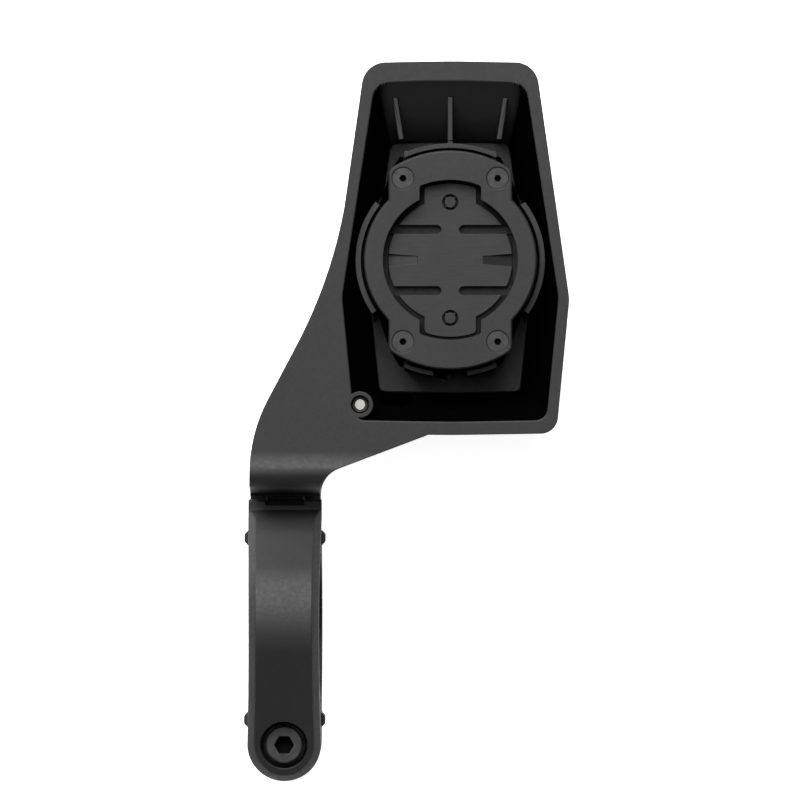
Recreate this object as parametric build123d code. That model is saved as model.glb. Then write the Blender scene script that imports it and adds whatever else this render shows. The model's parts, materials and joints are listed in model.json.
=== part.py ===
"""Out-front handlebar mount with a twist-lock receiver for a cycling computer.

Frame: origin at the centre of the handlebar bore, halfway along the clamp.
+X along the bar to the rider's right, +Y forward, +Z up. Millimetres.
"""
from build123d import *

import os
from math import cos, hypot, radians, sin, sqrt, tan

# ---------------------------------------------------------------- bar clamp
BAR_R = 15.9
PAD_T = 0.8
CLAMP_WALL = 3.7
CLAMP_W = 17.1
PAD_SIDE_STEP = 1.05
PAD_END_DEG = {1: (-4.0, 9.5), -1: (-12.5, -2.0)}
STRAP_FRONT_TILT = 44.7
STRAP_REAR_TILT = 15.8
STRAP_CHAMFER = 1.7
WAIST_SAG = 0.4
FRONT_SPLIT_Z = -2.4
REAR_SPLIT_Z = 2.3
SPLIT_GAP = 0.6
SHOULDER_OFFSET = (3.9, 4.9)
SHOULDER_L = 3.4
SHOULDER_OUT = 0.9
SHOULDER_H = 3.0
SHOULDER_CHAMFER = 0.8

# ------------------------------------------------------------ strap hinge
HINGE_REACH = 6.6
PIN_Z = -3.6
PIN_R = 1.25
PIN_SIDE_STEP = 0.55
PIN_RUN_GAP = 0.05
KNUCKLE_R = 2.6
KNUCKLE_HALF_W = 4.35
KNUCKLE_SIDE_GAP = 0.25
COVER_GAP = 0.35
LAND_Z = 0.3
LAND_REACH = 0.1
VALLEY_DROP = 0.5
NOTCH_DEPTH = 1.1
FACET_L = 2.1
EAR_CHAMFER = 0.5
COVER_CHAMFER = 0.4
SWEEP_GAP = 0.28
KNUCKLE_WEB_TOP = 0.5
KNUCKLE_WEB_DEPTH = 5.4

# ------------------------------------------------------------ clamp screw
SCREW_REACH = 10.4
BOSS_R = 8.55
SCREW_R = 2.1
SCREW_LEN = 14.0
CAP_R = 4.25
CAP_H = 5.0
CAP_EDGE_R = 0.4
CAP_HEX = 4.0
CAP_HEX_DEPTH = 2.6
COUNTERBORE_Z = 6.5
WASHER_T = 0.9
NUT_AF = 8.0
NUT_T = 4.0
NUT_TOP_Z = -0.5
LOWER_BOSS_Z = -9.5

# ------------------------------------------------------------------- cowl
RIM_Z = 13.0
BELLY_Z = -7.4
FLOOR_Z = -5.0
COWL_X = 38.5
REC_Y = 85.2
CROWN = 0.4
CROWN_R = 300.0
# each section is (z, front y, front half width, widest y, widest half width,
# rear y, rear half width, front corner r, widest r, rear corner r), with y
# counted from the receiver's centre
HULL_SECTIONS = (
    (RIM_Z, 45.75, 19.8, -9.0, 27.6, -40.2, 24.6, 5.5, 12.0, 4.0),
    (4.0, 42.0, 19.5, -9.0, 27.1, -39.2, 24.1, 6.2, 13.0, 5.2),
    (BELLY_Z, 34.2, 19.4, -8.8, 25.5, -37.0, 23.0, 8.0, 14.0, 7.5),
)
POCKET_SECTIONS = (
    (RIM_Z, 41.2, 17.5, -8.6, 25.1, -37.2, 22.3, 4.0, 10.0, 2.8),
    (3.0, 31.6, 14.8, -8.4, 21.5, -32.6, 19.0, 3.0, 9.0, 2.4),
    (FLOOR_Z, 27.7, 13.9, -8.2, 18.9, -30.5, 16.5, 2.0, 8.0, 1.6),
)
FLOOR_SECTION = POCKET_SECTIONS[-1]

# -------------------------------------------------------------------- arm
ARM_REACH = 3.7
ARM_CREST_L = 2.3
ARM_RAMP_L = 6.4
ARM_RAMP_DEG = 20.5
ARM_RAMP_R = 8.0
ARM_CREST_R = 3.8
ARM_FOOT_L = 0.3
ARM_VALLEY_R = 1.2
ARM_HALF_W = 8.25
ARM_BOTTOM_Z = -13.1
ARM_ROOF_T = 3.0
ARM_WEBS = ((13.8, 1.6), (22.8, 1.6))

# ------------------------------------------------- receiver tower and base
MOUTH_R = 15.6
RING_WEB = 4.4
BARREL_OUT = 5.35
BARREL_HALF_W = 14.3
BARREL_CORNER_R = 2.0
BARREL_MIN_CORNER_R = 0.6
RING_TOP_Z = 13.6
RING_T = 2.0
RING_EDGE = 0.35
NOTCH_HALF_W = 7.1
NOTCH_OUT = 2.9
NOTCH_CORNER_R = 0.8
TAB_SPACE = 1.0
ISLAND_GAP = 1.2
ISLAND_H = 0.6
FLANGE_T = 0.6
LOBE_HALF_W = 6.0
LOBE_GAP = 0.7
LOBE_CORNER_R = 1.0
SLOT_Y = 7.1
SLOT_W = 2.04
SLOT_INNER_X = 3.1
DETENT_INNER_X = 7.6
DETENT_DEPTH = 1.0
DETENT_HALF_W = (1.5, 0.9)
RECESS_OUT = 3.1
RECESS_GAP = 0.15
TONGUE_RELIEF = 0.5
TONGUE_ROOT_X = 3.5
LOCATOR_INSET = 0.97
LOCATOR_R = 1.3
LOCATOR_HOLE_R = 1.85
LOCATOR_RIB = (0.4, 0.5)
TOWER_INSET = 0.25
TOWER_WALL = 2.2
TOWER_ROOF = 2.0
TOWER_WEB_T = 1.6
GUARD_Z = 10.0
SIDE_GUARD_GAP = 0.7
SIDE_GUARD_T = 1.3
SIDE_GUARD_DEG = (-34.5, 38.0)
END_GUARD_GAP = 0.65
END_GUARD_T = 1.1
END_GUARD_HALF_W = 10.76
REAR_GUARD_SPLIT = 3.9
GUARD_WEB = (1.0, 3.6, 2.0)
BULGE_GAP = 0.4
BASE_FIT = 0.15
PLATE_FIT = 0.05
PLATE_T = 1.4
PLATE_LAP = 5.3
DIMPLE_W = 0.8
DIMPLE_L = 1.9
DIMPLE_DEPTH = 1.8
VENT_R = 0.9
VENT_DEPTH = 1.2

# ------------------------------------------------------- receiver fixings
RING_SCREW_X = 10.96
RING_SCREW_INSET = 6.45
RING_SCREW_R = 1.1
RING_SCREW_LEN = 8.0
RING_HEAD_R = 2.45
RING_HEAD_H = 1.5
RING_HEAD_GAP = 0.25
RING_HEAD_SINK = 0.12
RING_HEX = 1.5
RING_HEX_DEPTH = 1.3
INSERT_R = 1.95
INSERT_L = 4.5
INSERT_WALL = 1.9
PILOT_L = 2.5
THREAD_GAP = 0.1
SHANK_GAP = 0.2
BELLY_SCREW_R = 1.1
BELLY_SCREW_LEN = 4.6
BELLY_HEAD_R = 2.0
BELLY_HEAD_H = 1.1
BELLY_HEX_DEPTH = 0.8
BELLY_SCREWS = ((-18.8, 15.8), (18.8, 15.8), (-21.0, -19.2), (21.0, -19.2))

# ------------------------------------------------------------- lock screw
LOCK_X = 17.6
LOCK_BACK = 33.5
LOCK_BOSS_R = 3.1
LOCK_MOUTH_R = 2.05
LOCK_SCREW_R = 1.25
LOCK_RUN_GAP = 0.05
LOCK_TIP_Z = 11.2
LOCK_TRAVEL = 3.0
LOCK_INSERT_Z = (6.5, 11.4)
LOCK_HEAD_R = 2.25
LOCK_HEAD_H = 2.0
LOCK_HEAD_GAP = 0.35
LOCK_SHANK_L = 13.5
# corners of the gap beside the floor's rear left corner, y counted from the
# receiver's centre
DRAIN_GAP = (
    (22.2, -30.6),
    (22.2, -33.1),
    (23.4, -33.5),
    (28.0, -33.8),
    (30.6, -32.2),
    (30.1, -31.4),
    (24.1, -30.7),
)
DRAIN_TOP_Z = 9.0

# -------------------------------------------------------------- front ribs
RIB_T = 1.2
RIB_FRONT = 39.4
SIDE_RIB_X = (13.1, 11.35)
SIDE_RIB_END = 28.0

# ------------------------------------------------------------ derived sizes
CLAMP_R = BAR_R + PAD_T
STRAP_R = CLAMP_R + CLAMP_WALL
HALF_W = CLAMP_W / 2
PAD_W = CLAMP_W - 2 * PAD_SIDE_STEP
PIN_L = CLAMP_W - 2 * PIN_SIDE_STEP
JAW_TOP_FRONT = FRONT_SPLIT_Z - SPLIT_GAP
JAW_TOP_REAR = REAR_SPLIT_Z - SPLIT_GAP
SHOULDER_Y = (CLAMP_R + SHOULDER_OFFSET[0], -CLAMP_R - SHOULDER_OFFSET[1])
PIN_Y = STRAP_R + HINGE_REACH
SLOT_HALF_W = KNUCKLE_HALF_W + KNUCKLE_SIDE_GAP
EAR_FRONT_Y = PIN_Y + KNUCKLE_R
EAR_REAR_Y = PIN_Y - KNUCKLE_R
COVER_FRONT_Y = EAR_FRONT_Y - NOTCH_DEPTH
LAND_Y = PIN_Y + LAND_REACH
VALLEY_Z = LAND_Z - VALLEY_DROP
SWEEP_R = hypot(KNUCKLE_R - EAR_CHAMFER, LAND_Z - PIN_Z) + SWEEP_GAP
SCREW_Y = -(CLAMP_R + SCREW_REACH)
SCREW_HOLE_R = SCREW_R + 0.65
THREAD_R = SCREW_R + 0.4
WASHER_R = CAP_R + 0.75
COUNTERBORE_R = WASHER_R + 0.45
ARM_END_Y = PIN_Y + ARM_REACH
RING_R = MOUTH_R + RING_WEB
BARREL_R = RING_R + BARREL_OUT
NOTCH_R = MOUTH_R + NOTCH_OUT
ISLAND_R = MOUTH_R - ISLAND_GAP
LOBE_R = NOTCH_R - LOBE_GAP
RECESS_R = MOUTH_R + RECESS_OUT
LOCATOR_Y = ISLAND_R - LOCATOR_INSET
SIDE_GUARD = (RING_R + SIDE_GUARD_GAP, RING_R + SIDE_GUARD_GAP + SIDE_GUARD_T)
END_GUARD = (BARREL_R + END_GUARD_GAP, BARREL_R + END_GUARD_GAP + END_GUARD_T)
POCKET_BULGE_R = SIDE_GUARD[1] + BULGE_GAP
RING_SCREW_Y = BARREL_R - RING_SCREW_INSET
INSERT_BORE_R = RING_SCREW_R + THREAD_GAP
RING_Z = RING_TOP_Z - RING_T
ISLAND_Z = RING_Z - TAB_SPACE
FLANGE_Z = ISLAND_Z - ISLAND_H
PEDESTAL_Z = FLANGE_Z - FLANGE_T
LOCK_Y = REC_Y - LOCK_BACK
LOCK_HEAD_TOP = LOCK_TIP_Z - LOCK_SHANK_L
BIG = 200.0
OVER = 1.0


# ------------------------------------------------------------ small helpers
def corner_arc(before, corner, after, radius):
    """Start, middle and end of the arc that rounds one corner of an outline."""
    back = (before - corner).normalized()
    ahead = (after - corner).normalized()
    half = radians(back.get_angle(ahead)) / 2
    reach = radius / tan(half)
    middle = (back + ahead).normalized() * (radius / sin(half) - radius)
    return corner + back * reach, corner + middle, corner + ahead * reach


def rounded_face(points, plane=Plane.XY):
    """Closed outline from (u, v, corner radius) points."""
    corners = [Vector(u, v) for u, v, _ in points]
    count = len(corners)
    starts, ends, edges = [], [], []
    for i, corner in enumerate(corners):
        radius = points[i][2]
        if radius == 0:
            starts.append(corner)
            ends.append(corner)
            continue
        start, middle, end = corner_arc(corners[i - 1], corner, corners[(i + 1) % count], radius)
        edges.append(Edge.make_three_point_arc(start, middle, end))
        starts.append(start)
        ends.append(end)
    for i in range(count):
        edges.append(Edge.make_line(ends[i - 1], starts[i]))
    face = Face(Wire(edges))
    if face.normal_at().Z < 0:
        face = -face
    return plane * face


def polygon(points, plane=Plane.XY):
    """Closed outline with sharp corners."""
    return rounded_face([(u, v, 0) for u, v in points], plane)


def along_x(points, low, high):
    """Side view outline in (y, z), carried along X from low to high."""
    return extrude(rounded_face(points, Plane.YZ.offset(low)), high - low)


def post(x, y, z_low, z_high, radius):
    """Upright cylinder."""
    return Pos(x, y, z_low) * Cylinder(
        radius, z_high - z_low, align=(Align.CENTER, Align.CENTER, Align.MIN)
    )


def block(x_low, x_high, y_low, y_high, z_low, z_high):
    """Box from its two corners."""
    size = (x_high - x_low, y_high - y_low, z_high - z_low)
    return Pos(x_low, y_low, z_low) * Box(*size, align=(Align.MIN, Align.MIN, Align.MIN))


def rod_x(y, z, radius, low, high):
    """Cylinder along X."""
    return Pos((low + high) / 2, y, z) * Rot(0, 90, 0) * Cylinder(radius, high - low)


def hex_prism(x, y, z_low, z_high, across_flats):
    """Upright hexagon."""
    flat = RegularPolygon(across_flats / 2, 6, major_radius=False)
    return Pos(x, y, z_low) * extrude(flat, z_high - z_low)


def centred(points):
    """Points counted from the receiver's centre line across, moved into the frame."""
    return [(x, REC_Y + y, *rest) for x, y, *rest in points]


def cowl_face(section, grow=0.0):
    """One level of the cowl, symmetric about its centre line, crowned fore and aft."""
    z, front, front_w, wide, wide_w, rear, rear_w, front_r, wide_r, rear_r = section
    right = (
        (front_w + grow, front + grow, front_r + grow),
        (wide_w + grow, wide, wide_r + grow),
        (rear_w + grow, rear - grow, rear_r + grow),
    )
    points = [(0, front + grow + CROWN, CROWN_R), *right, (0, rear - grow - CROWN, CROWN_R)]
    points += [(-x, y, r) for x, y, r in reversed(right)]
    placed = [(COWL_X + x, y, r) for x, y, r in centred(points)]
    return rounded_face(placed, Plane.XY.offset(z))


def cowl_loft(sections):
    """Skin over the levels of the cowl."""
    return loft([cowl_face(section) for section in sections])


def ring_band(inner, outer, z_low, z_high):
    """Tube round the receiver's centre."""
    centre = (COWL_X, REC_Y)
    return post(*centre, z_low, z_high, outer) - post(*centre, z_low, z_high, inner)


def receiver_sector(start_deg, end_deg, z_low, z_high):
    """Wedge from the receiver's centre, for cutting arcs to length."""
    reach = 60.0
    ends = [(reach * cos(radians(a)), reach * sin(radians(a))) for a in (start_deg, end_deg)]
    points = [(COWL_X, REC_Y)] + [(COWL_X + x, REC_Y + y) for x, y in ends]
    return extrude(polygon(points, Plane.XY.offset(z_low)), z_high - z_low)


def barrel(inset, z_low, z_high):
    """Plan of the ring plate: a disc with a wider barrel fore and aft."""
    half_w = BARREL_HALF_W - inset
    reach = BARREL_R + OVER
    corner_r = max(BARREL_CORNER_R - inset, BARREL_MIN_CORNER_R)
    disc = post(COWL_X, REC_Y, z_low, z_high, RING_R - inset)
    bar = block(COWL_X - half_w, COWL_X + half_w, REC_Y - reach, REC_Y + reach, z_low, z_high)
    bar &= post(COWL_X, REC_Y, z_low, z_high, BARREL_R - inset)
    bar = fillet(bar.edges().filter_by(Axis.Z), corner_r)
    return disc + bar


# ------------------------------------------------------------- clamp strap
def strap_tangents():
    """Where the strap's crown runs out into its front and rear planes, in (y, z)."""
    a, b = radians(STRAP_FRONT_TILT), radians(STRAP_REAR_TILT)
    return (STRAP_R * sin(a), STRAP_R * cos(a)), (-STRAP_R * sin(b), STRAP_R * cos(b))


def front_plane_z(y):
    """Height of the strap's front plane."""
    (front_y, front_z), _ = strap_tangents()
    return front_z - (y - front_y) * tan(radians(STRAP_FRONT_TILT))


def strap_blank():
    """Side view carried across the clamp, then trimmed to the plan outline."""
    front, rear = strap_tangents()
    end_y = SCREW_Y - BOSS_R - OVER
    end = (end_y, rear[1] + (end_y - rear[0]) * tan(radians(STRAP_REAR_TILT)))
    toe = (front[0] + (front[1] - PIN_Z) / tan(radians(STRAP_FRONT_TILT)), PIN_Z)
    top = Line(toe, front) + RadiusArc(front, rear, -STRAP_R) + Line(rear, end)
    under = Polyline(end, (end_y, REAR_SPLIT_Z), (0, REAR_SPLIT_Z), (0, FRONT_SPLIT_Z),
                     (EAR_REAR_Y, FRONT_SPLIT_Z), (EAR_REAR_Y, PIN_Z), toe)
    side = make_face((top + under).edges())
    return extrude(Plane.YZ.offset(-HALF_W) * side, CLAMP_W) & strap_plan()


def strap_plan():
    """Plan outline: waisted sides and a round rear end."""
    waist = HALF_W - WAIST_SAG
    right = ThreePointArc((HALF_W, EAR_REAR_Y), (waist, 0), (HALF_W, SCREW_Y))
    rear = ThreePointArc((HALF_W, SCREW_Y), (0, SCREW_Y - BOSS_R), (-HALF_W, SCREW_Y))
    left = ThreePointArc((-HALF_W, SCREW_Y), (-waist, 0), (-HALF_W, EAR_REAR_Y))
    reach = EAR_FRONT_Y + STRAP_R
    front = Polyline((-HALF_W, EAR_REAR_Y), (-HALF_W, reach), (HALF_W, reach),
                     (HALF_W, EAR_REAR_Y))
    face = make_face((right + rear + left + front).edges())
    return Pos(0, 0, -STRAP_R) * extrude(face, 2 * STRAP_R + OVER)


def crown_sides(strap):
    """Long edges of the strap's top, left and right."""
    return [e for e in strap.edges()
            if abs(e.center().X) > HALF_W - STRAP_CHAMFER - WAIST_SAG
            and abs(e.tangent_at(0.5).X) < 0.3
            and e.center().Z > REAR_SPLIT_Z + OVER
            and e.length > 2 * STRAP_CHAMFER]


def front_cut():
    """Everything in front of the strap: its facet, then the space over the land."""
    start = LAND_Y - FACET_L
    far = EAR_FRONT_Y + STRAP_R
    points = [(start, front_plane_z(start), 0), (LAND_Y, LAND_Z, 0), (EAR_FRONT_Y, LAND_Z, 0),
              (EAR_FRONT_Y, PIN_Z - OVER, 0), (far, PIN_Z - OVER, 0), (far, STRAP_R, 0),
              (start, STRAP_R, 0)]
    return along_x(points, -HALF_W - OVER, HALF_W + OVER)


def hinge_land():
    """Flat step in front of the facet, over the pin."""
    points = [(EAR_REAR_Y, PIN_Z, 0), (EAR_FRONT_Y, PIN_Z, 0),
              (EAR_FRONT_Y, LAND_Z - EAR_CHAMFER, 0), (EAR_FRONT_Y - EAR_CHAMFER, LAND_Z, 0),
              (EAR_REAR_Y, LAND_Z, 0)]
    return along_x(points, -HALF_W, HALF_W)


def hinge_ears():
    """Two knuckles of the strap, either side of the body's knuckle."""
    ears = rod_x(PIN_Y, PIN_Z, KNUCKLE_R, -HALF_W, -SLOT_HALF_W)
    return ears + rod_x(PIN_Y, PIN_Z, KNUCKLE_R, SLOT_HALF_W, HALF_W)


def hinge_notch():
    """Room for the body's knuckle under the strap's cover, and the notch in its front."""
    notch = rod_x(PIN_Y, PIN_Z, KNUCKLE_R + COVER_GAP, -SLOT_HALF_W, SLOT_HALF_W)
    corner = [(COVER_FRONT_Y, PIN_Z - OVER, 0), (EAR_FRONT_Y + OVER, PIN_Z - OVER, 0),
              (EAR_FRONT_Y + OVER, LAND_Z + OVER, 0), (COVER_FRONT_Y - COVER_CHAMFER, LAND_Z + OVER, 0),
              (COVER_FRONT_Y - COVER_CHAMFER, LAND_Z, 0), (COVER_FRONT_Y, LAND_Z - COVER_CHAMFER, 0)]
    return notch + along_x(corner, -SLOT_HALF_W, SLOT_HALF_W)


def shoulders(z_low, z_high):
    """Small side bosses next to the split line, front and rear."""
    out = []
    for y in SHOULDER_Y:
        boss = block(-HALF_W - SHOULDER_OUT, HALF_W + SHOULDER_OUT,
                     y - SHOULDER_L / 2, y + SHOULDER_L / 2, z_low, z_high)
        out.append(chamfer(boss.edges().filter_by(Axis.Z), SHOULDER_CHAMFER))
    return out


def clamp_strap():
    """Upper half of the bar clamp."""
    strap = strap_blank()
    strap = chamfer(crown_sides(strap), STRAP_CHAMFER)
    strap -= front_cut()
    strap += hinge_land()
    front_shoulder, rear_shoulder = shoulders(0, SHOULDER_H)
    strap += Pos(0, 0, FRONT_SPLIT_Z) * front_shoulder
    strap += Pos(0, 0, REAR_SPLIT_Z) * rear_shoulder
    strap += hinge_ears()
    strap -= rod_x(0, 0, CLAMP_R, -BIG, BIG)
    strap -= hinge_notch()
    strap -= rod_x(PIN_Y, PIN_Z, PIN_R + PIN_RUN_GAP, -BIG, BIG)
    strap -= post(0, SCREW_Y, COUNTERBORE_Z, STRAP_R, COUNTERBORE_R)
    strap -= post(0, SCREW_Y, REAR_SPLIT_Z - OVER, COUNTERBORE_Z, SCREW_HOLE_R)
    return strap


# -------------------------------------------------------------- mount body
def lower_jaw():
    """Lower half of the bar clamp, with the nut boss behind the bar."""
    outer = rod_x(0, 0, STRAP_R, -HALF_W, HALF_W)
    outer &= block(-BIG, BIG, -BIG, BIG, -BIG, JAW_TOP_FRONT)
    boss_end = SCREW_Y - BOSS_R
    rear = [(2 - CLAMP_R, JAW_TOP_REAR, 0), (boss_end, JAW_TOP_REAR, 0),
            (boss_end, LOWER_BOSS_Z, 3.0), (SCREW_Y + 6.0, LOWER_BOSS_Z, 4.0),
            (-10.0, 2.0 - STRAP_R, 0), (-8.0, 4.0 - CLAMP_R, 0)]
    plan = post(0, SCREW_Y, -BIG, BIG, BOSS_R)
    plan += block(-HALF_W, HALF_W, SCREW_Y, 0, -BIG, BIG)
    jaw = outer + (along_x(rear, -HALF_W, HALF_W) & plan)
    jaw += along_x(jaw_front_points(), -BIG, BIG) & (arm_plan() + front_plan())
    front_shoulder, rear_shoulder = shoulders(-SHOULDER_H, 0)
    jaw += Pos(0, 0, JAW_TOP_FRONT) * front_shoulder
    return jaw + Pos(0, 0, JAW_TOP_REAR) * rear_shoulder


def jaw_front_points():
    """Side view of the jaw's front: under the hinge, then up to the arm's belly."""
    return [
        (STRAP_R - 7.0, JAW_TOP_FRONT, 0),
        (ARM_END_Y + 3.0, JAW_TOP_FRONT, 0),
        (ARM_END_Y + 9.0, BELLY_Z + 2.4, 0),
        (ARM_END_Y + 15.0, BELLY_Z, 0),
        (ARM_END_Y, ARM_BOTTOM_Z, 20.0),
        (STRAP_R - 7.0, 0.9 - STRAP_R, 20.0),
        (3.0, 0.3 - STRAP_R, 0),
        (3.0, 3.0 - STRAP_R, 0),
    ]


def front_plan():
    """Plan of the clamp in front of the bar, up to the arm's end."""
    return block(-ARM_HALF_W, ARM_HALF_W, 0, ARM_END_Y, -BIG, BIG)


def body_knuckle():
    """Middle knuckle of the hinge, held from below and in front."""
    knuckle = rod_x(PIN_Y, PIN_Z, KNUCKLE_R, -KNUCKLE_HALF_W, KNUCKLE_HALF_W)
    top = PIN_Z - KNUCKLE_WEB_TOP
    web = block(-KNUCKLE_HALF_W, KNUCKLE_HALF_W, PIN_Y - 1.5, ARM_END_Y + OVER,
                PIN_Z - KNUCKLE_WEB_DEPTH, top)
    return knuckle + web


def arm_plan():
    """Plan of the arm, from the cowl to the hinge's valley."""
    rear = PIN_Y + 1.0
    points = [
        (15.1, REC_Y + 19.3, 0),
        (11.4, REC_Y - 3.6, 110.0),
        (-7.8, ARM_END_Y + 14.6, 36.0),
        (-8.15, ARM_END_Y, 0),
        (-ARM_HALF_W, rear, 0),
        (ARM_HALF_W, rear, 0),
        (ARM_HALF_W, ARM_END_Y + 4.5, 7.0),
        (COWL_X - 4.5, REC_Y - 40.3, 18.0),
        (COWL_X + 5.5, REC_Y - 34.0, 0),
        (COWL_X + 5.5, REC_Y - 25.2, 0),
        (COWL_X - 8.5, REC_Y + 19.3, 0),
    ]
    return extrude(rounded_face(points, Plane.XY.offset(-BIG)), 2 * BIG)


def arm_side_points():
    """Side view of the arm: flat top, ramp, rounded crest, steep end and valley."""
    crest_y = ARM_END_Y + ARM_CREST_L
    crest_z = RIM_Z + ARM_RAMP_L * tan(radians(ARM_RAMP_DEG))
    return [
        (REC_Y + 24.8, RIM_Z, 0),
        (crest_y + ARM_RAMP_L, RIM_Z, ARM_RAMP_R),
        (crest_y, crest_z, ARM_CREST_R),
        (ARM_END_Y + ARM_FOOT_L, VALLEY_Z, ARM_VALLEY_R),
        (PIN_Y + 1.0, VALLEY_Z, 0),
        (PIN_Y + 1.0, ARM_BOTTOM_Z + 1.0, 0),
        (ARM_END_Y + 0.5, ARM_BOTTOM_Z, 0),
        (ARM_END_Y + 15.3, BELLY_Z, 12.0),
        (REC_Y - 23.2, BELLY_Z + 1.8, 30.0),
        (REC_Y + 4.8, FLOOR_Z + 10.0, 30.0),
        (REC_Y + 24.8, RIM_Z - 1.0, 0),
    ]


def arm():
    """Flat-topped arm that grows out of the cowl and ends in the hinge's valley."""
    return arm_plan() & along_x(arm_side_points(), -BIG, BIG)


def arm_hollow():
    """Moulding pocket under the arm, with two stiffening webs left in it."""
    y = ARM_END_Y
    plan = ((-3.6, y + 19.8, 3.0), (-4.6, y + 6.8, 2.0), (5.0, y + 6.8, 3.0),
            (10.5, y + 10.5, 3.0), (11.4, y + 16.8, 2.0), (9.6, y + 31.3, 2.0),
            (4.6, y + 31.3, 2.5))
    pocket = extrude(rounded_face(plan, Plane.XY.offset(-BIG)), BIG + RIM_Z - ARM_ROOF_T)
    for offset, thickness in ARM_WEBS:
        middle = y + offset
        pocket -= block(-BIG, BIG, middle - thickness / 2, middle + thickness / 2, -BIG, BIG)
    return pocket


def front_ribs():
    """Three gusset ribs from the raked front wall down to the floor's edge."""
    front = REC_Y + RIB_FRONT
    ribs = [block(COWL_X - RIB_T / 2, COWL_X + RIB_T / 2, REC_Y + FLOOR_SECTION[1], front,
                  FLOOR_Z, GUARD_Z)]
    front_x, rear_x = SIDE_RIB_X
    for side in (-1, 1):
        points = [(COWL_X + side * front_x - RIB_T / 2, front),
                  (COWL_X + side * front_x + RIB_T / 2, front),
                  (COWL_X + side * rear_x + RIB_T / 2, REC_Y + SIDE_RIB_END),
                  (COWL_X + side * rear_x - RIB_T / 2, REC_Y + SIDE_RIB_END)]
        ribs.append(extrude(polygon(points, Plane.XY.offset(FLOOR_Z)), GUARD_Z - FLOOR_Z))
    return ribs


def drain_gap():
    """See-through gap beside the floor's rear left corner."""
    outline = polygon(centred(DRAIN_GAP), Plane.XY.offset(-BIG))
    return extrude(outline, BIG + DRAIN_TOP_Z)


def mount_body():
    """Cowl, arm, hinge knuckle and lower jaw in one moulding."""
    hull = cowl_loft(HULL_SECTIONS)
    body = hull + arm() + lower_jaw()
    pocket = cowl_loft(POCKET_SECTIONS)
    pocket += post(COWL_X, REC_Y, BELLY_Z, RIM_Z, POCKET_BULGE_R)
    pocket += extrude(cowl_face(FLOOR_SECTION), BELLY_Z - FLOOR_Z)
    body -= pocket
    body += [rib & hull for rib in front_ribs()]
    plate_seat = cowl_face((BELLY_Z, *FLOOR_SECTION[1:]), PLATE_LAP + BASE_FIT)
    body -= extrude(plate_seat, PLATE_T)
    body += post(LOCK_X, LOCK_Y, BELLY_Z, RIM_Z, LOCK_BOSS_R)
    body -= drain_gap()
    body -= arm_hollow()
    body -= lock_holes()
    for x, y in belly_screw_places():
        body -= post(x, y, BELLY_Z, BELLY_Z + BELLY_SCREW_LEN + 0.4, BELLY_SCREW_R)
    body -= rod_x(PIN_Y, PIN_Z, SWEEP_R, -BIG, BIG)
    body += body_knuckle()
    body -= rod_x(0, 0, CLAMP_R, -BIG, BIG)
    body -= rod_x(PIN_Y, PIN_Z, PIN_R, -BIG, BIG)
    body -= post(0, SCREW_Y, -BIG, BIG, SCREW_HOLE_R)
    body -= hex_prism(0, SCREW_Y, -BIG, NUT_TOP_Z, NUT_AF)
    return body


def lock_holes():
    """Bore for the lock screw: open mouth, insert seat, clearance and head space."""
    low = LOCK_INSERT_Z[0]
    holes = post(LOCK_X, LOCK_Y, low, RIM_Z + OVER, LOCK_MOUTH_R)
    holes += post(LOCK_X, LOCK_Y, -BIG, low, LOCK_SCREW_R + 0.25)
    head_room = LOCK_HEAD_TOP + LOCK_TRAVEL + 0.2
    holes += post(LOCK_X, LOCK_Y, -BIG, head_room, LOCK_HEAD_R + LOCK_HEAD_GAP)
    return holes


# ---------------------------------------------------------- receiver base
def side_guards():
    """Arc walls left and right of the ring plate."""
    start, end = SIDE_GUARD_DEG
    band = ring_band(*SIDE_GUARD, FLOOR_Z, GUARD_Z)
    right = band & receiver_sector(start, end, FLOOR_Z, GUARD_Z)
    left = band & receiver_sector(180 - end, 180 - start, FLOOR_Z, GUARD_Z)
    return left + right


def end_guards():
    """Arc walls in front of and behind the ring plate, the rear one in two lengths."""
    low, high = FLOOR_Z, GUARD_Z
    band = ring_band(*END_GUARD, low, high)
    w, split, reach = END_GUARD_HALF_W, REAR_GUARD_SPLIT, END_GUARD[1] + OVER
    walls = band & block(COWL_X - w, COWL_X + w, REC_Y - reach, REC_Y + reach, low, high)
    walls -= block(COWL_X - split, COWL_X + split, REC_Y - reach, REC_Y, low, high)
    return walls


def guard_webs():
    """Short webs that tie the front and rear arc walls to the tower."""
    thickness, length, drop = GUARD_WEB
    edge = sqrt(BARREL_R ** 2 - END_GUARD_HALF_W ** 2) + END_GUARD_GAP
    webs = []
    for side_x in (-1, 1):
        for side_y in (-1, 1):
            x = COWL_X + side_x * (END_GUARD_HALF_W - 0.6)
            y = REC_Y + side_y * edge
            webs.append(block(x - thickness / 2, x + thickness / 2,
                              y - length / 2, y + length / 2, FLOOR_Z, GUARD_Z - drop))
    return webs


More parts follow.
